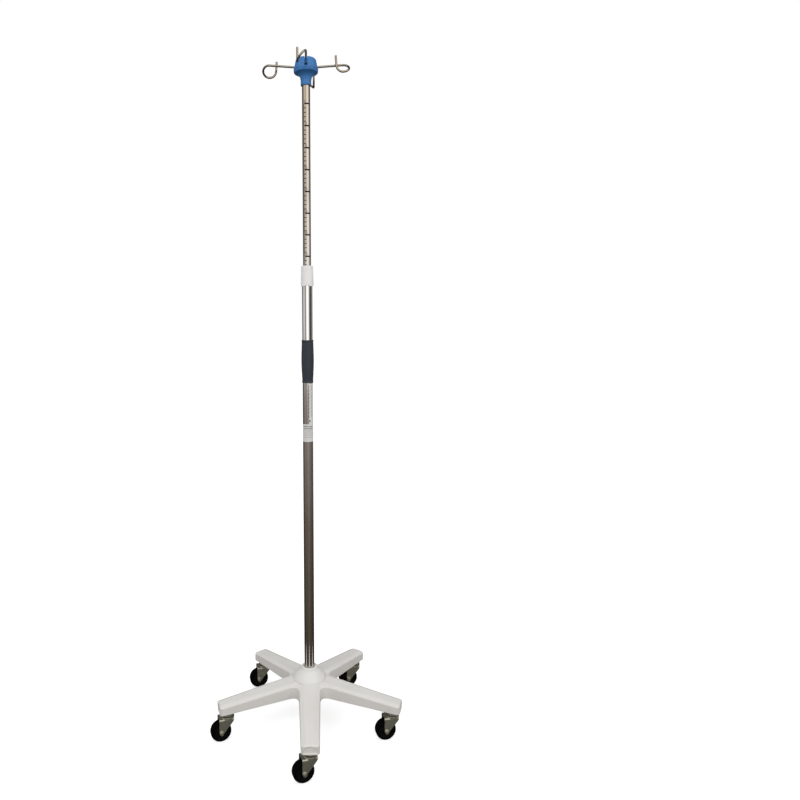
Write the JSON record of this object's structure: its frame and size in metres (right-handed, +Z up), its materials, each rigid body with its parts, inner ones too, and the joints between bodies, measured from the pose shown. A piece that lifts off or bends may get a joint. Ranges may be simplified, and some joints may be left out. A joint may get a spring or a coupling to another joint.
{
  "type": "drip stand",
  "caption": "Telescopic drip stand: a star base on swivel casters, a two-part steel mast with a twist-lock collar and hand grip, and a head with folding wire hooks.",
  "frame": {"origin": "the point on the floor under the centre line of the mast", "axes": "+Z up along the mast, -Y the front, towards the leg that points at the viewer, +X to the viewer's right"},
  "size_m": [0.466, 0.4304, 1.6171],
  "materials": {
    "base_plastic": "off-white moulded nylon, satin with a fine grain",
    "cover_plastic": "off-white moulded dome",
    "steel_tube": "polished stainless tube",
    "hook_wire": "polished stainless wire",
    "zinc_steel": "bright zinc-plated steel",
    "white_collar": "white moulded collar",
    "nylon": "natural nylon",
    "grip_rubber": "dark slate soft rubber",
    "label_paper": "blank white label",
    "head_blue": "mid blue moulded plastic",
    "black_plastic": "black moulded plastic",
    "tyre_rubber": "black rubber tread"
  },
  "bodies": {
    "base": {"base_star": "base_plastic", "hub_cover": "cover_plastic", "mast_plug": "zinc_steel", "mast_bolt": "zinc_steel", "lower_tube": "steel_tube", "lock_collet": "nylon", "hand_grip": "grip_rubber", "band_label": "label_paper", "side_label": "label_paper", "caster_stem_1": "zinc_steel", "caster_stem_2": "zinc_steel", "caster_stem_3": "zinc_steel", "caster_stem_4": "zinc_steel", "caster_stem_5": "zinc_steel"},
    "lock_collar": {"lock_collar": "white_collar"},
    "slide_bush": {"guide_bush": "nylon"},
    "upper_mast": {"upper_tube": "steel_tube", "bush_retainer": "black_plastic", "head_body": "head_blue", "head_cap": "head_blue", "head_screw": "zinc_steel", "hook_pins": "zinc_steel"},
    "hook_1": {"hook_1": "hook_wire"},
    "hook_2": {"hook_2": "hook_wire"},
    "hook_3": {"hook_3": "hook_wire"},
    "hook_4": {"hook_4": "hook_wire"},
    "caster_1": {"caster_fork_1": "zinc_steel", "swivel_balls_1": "zinc_steel", "axle_bolt_1": "zinc_steel"},
    "wheel_1": {"wheel_core_1": "black_plastic", "wheel_tyre_1": "tyre_rubber"},
    "caster_2": {"caster_fork_2": "zinc_steel", "swivel_balls_2": "zinc_steel", "axle_bolt_2": "zinc_steel"},
    "wheel_2": {"wheel_core_2": "black_plastic", "wheel_tyre_2": "tyre_rubber"},
    "caster_3": {"caster_fork_3": "zinc_steel", "swivel_balls_3": "zinc_steel", "axle_bolt_3": "zinc_steel"},
    "wheel_3": {"wheel_core_3": "black_plastic", "wheel_tyre_3": "tyre_rubber"},
    "caster_4": {"caster_fork_4": "zinc_steel", "swivel_balls_4": "zinc_steel", "axle_bolt_4": "zinc_steel"},
    "wheel_4": {"wheel_core_4": "black_plastic", "wheel_tyre_4": "tyre_rubber"},
    "caster_5": {"caster_fork_5": "zinc_steel", "swivel_balls_5": "zinc_steel", "axle_bolt_5": "zinc_steel"},
    "wheel_5": {"wheel_core_5": "black_plastic", "wheel_tyre_5": "tyre_rubber"}
  },
  "joints": [
    {"name": "collar_turn", "type": "hinge", "parent": "base", "child": "lock_collar", "pos_m": [0, 0, 1.118], "axis": [0, 0, 1], "range_deg": [0, 90]},
    {"name": "mast_height", "type": "slide", "parent": "base", "child": "slide_bush", "axis": [0, 0, 1], "range_m": [-0.4, 0.42]},
    {"name": "mast_turn", "type": "hinge", "parent": "slide_bush", "child": "upper_mast", "pos_m": [0, 0, 0.68], "axis": [0, 0, 1], "continuous": true},
    {"name": "hook_1_fold", "type": "hinge", "parent": "upper_mast", "child": "hook_1", "pos_m": [0.0125, 0, 1.597], "axis": [0, -1, 0], "range_deg": [0, 86]},
    {"name": "hook_2_fold", "type": "hinge", "parent": "upper_mast", "child": "hook_2", "pos_m": [0, 0.0125, 1.597], "axis": [1, 0, 0], "range_deg": [0, 86]},
    {"name": "hook_3_fold", "type": "hinge", "parent": "upper_mast", "child": "hook_3", "pos_m": [-0.0125, 0, 1.597], "axis": [0, 1, 0], "range_deg": [0, 86]},
    {"name": "hook_4_fold", "type": "hinge", "parent": "upper_mast", "child": "hook_4", "pos_m": [0, -0.0125, 1.597], "axis": [-1, 0, 0], "range_deg": [0, 86]},
    {"name": "caster_1_swivel", "type": "hinge", "parent": "base", "child": "caster_1", "pos_m": [0, -0.21, 0.06], "axis": [0, 0, 1], "continuous": true},
    {"name": "wheel_1_spin", "type": "hinge", "parent": "caster_1", "child": "wheel_1", "pos_m": [-0.01617, -0.21525, 0.025], "axis": [-0.309, 0.9511, 0], "continuous": true},
    {"name": "caster_2_swivel", "type": "hinge", "parent": "base", "child": "caster_2", "pos_m": [0.19972, -0.06489, 0.06], "axis": [0, 0, 1], "continuous": true},
    {"name": "wheel_2_spin", "type": "hinge", "parent": "caster_2", "child": "wheel_2", "pos_m": [0.18298, -0.06785, 0.025], "axis": [-0.1736, 0.9848, 0], "continuous": true},
    {"name": "caster_3_swivel", "type": "hinge", "parent": "base", "child": "caster_3", "pos_m": [0.12343, 0.16989, 0.06], "axis": [0, 0, 1], "continuous": true},
    {"name": "wheel_3_spin", "type": "hinge", "parent": "caster_3", "child": "wheel_3", "pos_m": [0.10669, 0.16694, 0.025], "axis": [-0.1736, 0.9848, 0], "continuous": true},
    {"name": "caster_4_swivel", "type": "hinge", "parent": "base", "child": "caster_4", "pos_m": [-0.12343, 0.16989, 0.06], "axis": [0, 0, 1], "continuous": true},
    {"name": "wheel_4_spin", "type": "hinge", "parent": "caster_4", "child": "wheel_4", "pos_m": [-0.14006, 0.16636, 0.025], "axis": [-0.2079, 0.9781, 0], "continuous": true},
    {"name": "caster_5_swivel", "type": "hinge", "parent": "base", "child": "caster_5", "pos_m": [-0.19972, -0.06489, 0.06], "axis": [0, 0, 1], "continuous": true},
    {"name": "wheel_5_spin", "type": "hinge", "parent": "caster_5", "child": "wheel_5", "pos_m": [-0.21589, -0.07015, 0.025], "axis": [-0.309, 0.9511, 0], "continuous": true}
  ]
}
